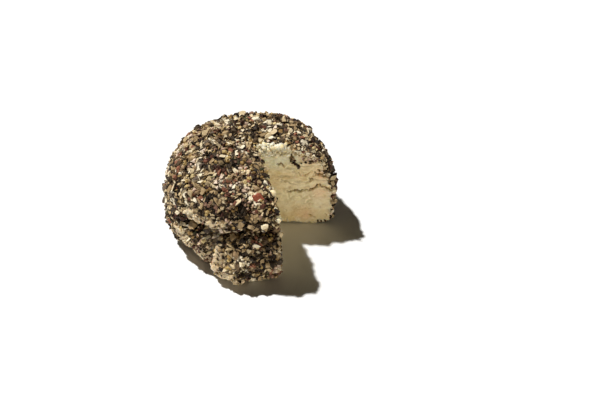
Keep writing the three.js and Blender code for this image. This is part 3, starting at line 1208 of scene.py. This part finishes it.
FINE_KINDS = (
    CrumbKind("fine_dark_crumbs", Shape.FLECK, (0.9, 2.1), 0.44, 0.35,
              CrumbFinish("fine_dark", BLACK, BLACK, 0.8, 0.2), 1.6, -0.8),
    CrumbKind("fine_brown_crumbs", Shape.FLECK, (0.9, 2.1), 0.35, 0.35,
              CrumbFinish("fine_brown", BROWN, BROWN, 0.8, 0.25), 1.6),
    CrumbKind("fine_pale_crumbs", Shape.FLECK, (0.9, 2.1), 0.21, 0.30,
              CrumbFinish("fine_pale", STRAW, STRAW, 0.8, 0.2), 1.6, 0.8),
)
RED_FLAKE = CrumbKind("red_skin_flake", Shape.CHIP, (4.8, 5.8), 0.0, 0.1,
                      CrumbFinish("red_skin", RED_SKIN, RED_SKIN, 0.6, 0.1))
DARK_FLAKE = CrumbKind("dark_skin_flake", Shape.CHIP, (3.6, 5.0), 0.0, 0.2,
                       CrumbFinish("dark_skin", BROWN, RUST, 0.6, 0.2))
GRAIN = CrumbKind("brown_grain", Shape.CHIP, (4.6, 5.4), 0.0, 0.3,
                  CrumbFinish("brown_grain", BROWN, RUST, 0.6, 0.2))
DRAGS = (
    Drag(GRAIN, 0, 23.2, 45.0, (0.1, 0.1), 1), Drag(HUSKS, 0, 20.3, 51.0, (0.5, 1.7), 8),
    Drag(PALE, 0, 21.8, 53.6, (0.9, 1.0), 8), Drag(RED, 0, 22.3, 48.0, (0.8, 1.6), 4),
    Drag(PINKISH, 0, 28.0, 51.2, (1.6, 0.9), 10), Drag(PINKISH, 0, 33.0, 50.0, (1.8, 0.9), 9),
    Drag(PALE, 0, 31.0, 50.6, (3.4, 1.2), 12), Drag(HUSKS, 0, 29.0, 48.8, (3.4, 1.0), 7),
    Drag(CHIPS, 0, 35.2, 48.8, (0.5, 0.5), 2), Drag(RED, 0, 32.0, 49.0, (3.0, 1.2), 3),
    Drag(CHIPS, 0, 39.0, 43.0, (1.2, 2.6), 6), Drag(HUSKS, 0, 38.0, 41.4, (1.8, 0.5), 4),
    Drag(PINKISH, 0, 38.5, 40.0, (1.2, 1.0), 4), Drag(HUSKS, 0, 33.0, 1.9, (6.0, 0.4), 4),
    Drag(CHIPS, 0, 43.0, 27.0, (0.6, 6.0), 5),
    Drag(CHIPS, 1, 30.0, 50.0, (6.0, 2.5), 14), Drag(PALE, 1, 28.0, 51.0, (6.0, 2.0), 10),
    Drag(HUSKS, 1, 36.0, 40.0, (4.0, 6.0), 7), Drag(RED, 1, 20.0, 52.0, (6.0, 2.0), 4),
    Drag(HUSKS, 1, 28.0, 2.0, (7.0, 0.7), 6),
)
STRAYS = (
    Stray(RED_FLAKE, -83, 54.5, 0.9), Stray(RED_FLAKE, 120, 38.0, 0.6),
    Stray(RED, -75, 56.0), Stray(RED, -73, 52.0), Stray(RED, -79, 57.0), Stray(RED, -72, 47.5),
    Stray(DARK_FLAKE, 2.5, 31.0, 0.9), Stray(DARK_FLAKE, 1.5, 26.5, 0.7),
    Stray(DARK_FLAKE, 2, 36.0, 0.6), Stray(DARK_FLAKE, 3, 39.0, 0.5),
    Stray(DARK_FLAKE, 1, 42.5, 0.5), Stray(DARK_FLAKE, 1.2, 34.5, 0.6),
)


@dataclass
class Curd:
    """Crumbs of the cheese itself: torn up along the cuts' upper rims and rubbed on to the coat."""

    cheese: Cheese
    outside: Outside
    finish: bpy.types.Material
    seed: int = 7
    lumps: int = 150
    variants: int = 8
    smear_spacing: float = 1.6
    smear_odds: tuple = (0.004, 0.12)  # anywhere, and what is added where the cheese is bare
    smear_lengths: tuple = (2.0, 5.5)

    def build(self) -> list:
        """Makes the lumps along the rims and the smears on the bare patches."""
        return [self._rims(), self._smears()]

    def _rims(self) -> bpy.types.Object:
        """Lumps torn up along the upper edges of the cut faces, most of them near the middle."""
        rng = np.random.default_rng(self.seed)
        places = vertices(self.cheese.piece.data)[0]
        rims = self.cheese.cut * bell(self.cheese.rim / 1.5)
        odds = self.cheese.torn(places) + 0.03 * rims * fade(places[:, 2], 30.0, 50.0)
        chosen = rng.choice(len(places), self.lumps, p=odds / odds.sum())
        sizes = 1.6 + 4.2 * rng.beta(1.2, 1.8, len(chosen))
        up = np.array([0.0, 0.0, 1.0]) + rng.normal(0.0, 0.4, (len(chosen), 3))
        out = self.cheese.planes[0].normal[None] * rng.uniform(-0.6, 1.4, len(chosen))[:, None]
        out[:, 2] += rng.uniform(-0.6, 1.1, len(chosen)) * fade(places[chosen, 2], 50.0, 56.0)
        return self._stamp("curd_lumps", places[chosen] + out, up, sizes, 0.7, 0.0, rng)

    def _smears(self) -> bpy.types.Object:
        """Flattened smears of cheese where the coat is thin."""
        rng = np.random.default_rng(self.seed + 1)
        places, normals = self.outside.scatter(self.smear_spacing, rng)
        bare = fade(self.cheese.bareness(places), 0.2, 0.6)
        anywhere, more = self.smear_odds
        kept = rng.uniform(0.0, 1.0, len(places)) < anywhere + more * bare
        places, normals = places[kept], normals[kept]
        sizes = rng.uniform(*self.smear_lengths, len(places))
        lift = rng.uniform(-0.2, 0.5, (len(places), 1))
        return self._stamp("curd_smears", places + normals * lift, normals, sizes, 0.2, 1.0, rng,
                           Shape.SMEAR)

    def _stamp(self, name: str, places: np.ndarray, normals: np.ndarray, sizes: np.ndarray,
               tilt: float, outer: float, rng: np.random.Generator,
               shape: Shape = Shape.LUMP) -> bpy.types.Object:
        """Copies lumps of curd to these places, as one piece."""
        shapes = [broken_shape(shape, rng) for _ in range(self.variants)]
        mesh = stamped_mesh(name, shapes, places, turned(normals, tilt, rng), sizes, rng)
        paint(mesh, "crumbly", np.ones(len(mesh.vertices)))
        paint(mesh, "outer", np.full(len(mesh.vertices), outer))
        mesh.shade_smooth()
        mesh.materials.append(self.finish)
        log.info("%s: %d lumps", name, len(places))
        return new_object(name, mesh)


@dataclass(frozen=True)
class Setting:
    """The pale floor, the light from behind on the left, and the camera."""

    distance: float = 621.0
    elevation: float = 45.5
    aim_right: float = 27.0  # of the wheel's foot, in the picture's plane
    aim_up: float = 14.5
    lens: float = 65.0
    foot_y: float = -0.3  # where the view's line meets the floor, before it is aimed
    floor_reach: float = 6.0  # metres
    floor_colour: tuple = colour(0.80, 0.82, 0.86)
    sun_travel: tuple = (25.0, -17.0, -61.0)
    sun_strength: float = 4.8
    sun_spread: float = 2.4  # degrees
    sun_colour: tuple = (1.0, 0.965, 0.90)
    sky_strength: float = 0.015
    sky_colour: tuple = colour(1.0, 0.87, 0.56)
    backdrop_colour: tuple = colour(1.0, 1.0, 1.0)
    panels: tuple = (  # each one's name, place and size in metres, and power
        ("low_glow", (0.20, -0.42, 0.012), (0.45, 0.02), 0.70),
        ("side_fill", (0.55, -0.10, 0.30), (0.4, 0.4), 0.06),
    )
    panel_colour: tuple = (1.0, 0.89, 0.66)
    panel_aim: tuple = (0.01, 0.0, 0.03)  # metres

    def build(self) -> None:
        """Makes the floor, lights and camera."""
        self._floor()
        self._key()
        for panel in self.panels:
            self._panel(*panel)
        self._sky()
        self._camera()
        bpy.context.scene.view_settings.view_transform = "Standard"

    def _floor(self) -> None:
        """A plain, pale floor that reaches far past the view."""
        bm = bmesh.new()
        bmesh.ops.create_grid(bm, x_segments=1, y_segments=1, size=self.floor_reach)
        mesh = bpy.data.meshes.new("floor")
        bm.to_mesh(mesh)
        bm.free()
        material, _, _ = new_material("pale_floor", {
            "Base Color": self.floor_colour, "Roughness": 0.9, "Specular IOR Level": 0.1})
        mesh.materials.append(material)
        new_object("floor", mesh)

    def _key(self) -> None:
        """The sun, from behind on the left."""
        lamp = bpy.data.lights.new("key", "SUN")
        lamp.energy = self.sun_strength
        lamp.angle = math.radians(self.sun_spread)
        lamp.color = self.sun_colour
        aim(new_object("key", lamp), Vector(self.sun_travel))

    def _panel(self, name: str, place: tuple, size: tuple, power: float) -> None:
        """A soft warm panel that faces the wheel.

        Args:
            name: The panel's name.
            place: Where it stands, in metres.
            size: How wide and how high it is, in metres.
            power: How strong it is, in watts.
        """
        panel = bpy.data.lights.new(name, "AREA")
        panel.shape = "RECTANGLE"
        panel.size, panel.size_y = size
        panel.energy = power
        panel.color = self.panel_colour
        lamp = new_object(name, panel)
        lamp.location = place
        x, y, z = self.panel_aim
        aim(lamp, Vector((x, y, min(place[2], z))) - lamp.location)

    def _sky(self) -> None:
        """A faint warm sky for light, and a white one for the camera."""
        world = bpy.data.worlds.new("studio")
        world.use_nodes = True
        bpy.context.scene.world = world
        build = NodeBuilder(world.node_tree)
        fill = world.node_tree.nodes["Background"]
        build.feed(fill, {"Color": self.sky_colour, "Strength": self.sky_strength})
        backdrop = build.add("ShaderNodeBackground", {"Color": self.backdrop_colour})
        path = build.add("ShaderNodeLightPath")
        blend = build.add("ShaderNodeMixShader", {
            0: path.outputs["Is Camera Ray"], 1: fill.outputs[0], 2: backdrop.outputs[0]})
        build.feed(world.node_tree.nodes["World Output"], {"Surface": blend.outputs[0]})

    def _camera(self) -> None:
        """A camera at the front, looking down at the wheel."""
        tilt = math.radians(self.elevation)
        foot = Vector((0.0, self.foot_y, 0.0))
        back = Vector((0.0, -math.cos(tilt), math.sin(tilt)))
        up = Vector((0.0, math.sin(tilt), math.cos(tilt)))
        target = foot + Vector((self.aim_right, 0.0, 0.0)) + up * self.aim_up
        place = foot + back * self.distance
        lens = bpy.data.cameras.new("camera")
        lens.lens = self.lens
        lens.sensor_width = 36.0
        lens.clip_start = 0.01
        camera = new_object("camera", lens)
        camera.location = place * MM
        aim(camera, target - place)
        bpy.context.scene.camera = camera


def main() -> None:
    """Builds the setting, the cheese and its coat, and fixes each piece to the wheel's body in
    place of the imported solids.
    """
    Setting().build()
    dust = dust_group()
    paste = PasteFinish().make()
    cheese = Cheese()
    body = cheese.build(paste)
    log.info("cheese_body: %d faces", len(body.data.polygons))
    outside = Outside.of(cheese)
    for piece in [body, *Curd(cheese, outside, paste).build()]:
        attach(piece, "root")
        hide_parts("cheese_paste")
    layers = ((1.45, 0.5, FINE_KINDS), (2.15, 0.45, MAIN_KINDS))
    coat = Coat(outside, cheese, layers, DRAGS, STRAYS)
    for piece in coat.build(dust):
        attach(piece, "root")
        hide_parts("pepper_coat")


if __name__ == "__main__":
    logging.basicConfig(level=logging.INFO, format="%(message)s")
    main()
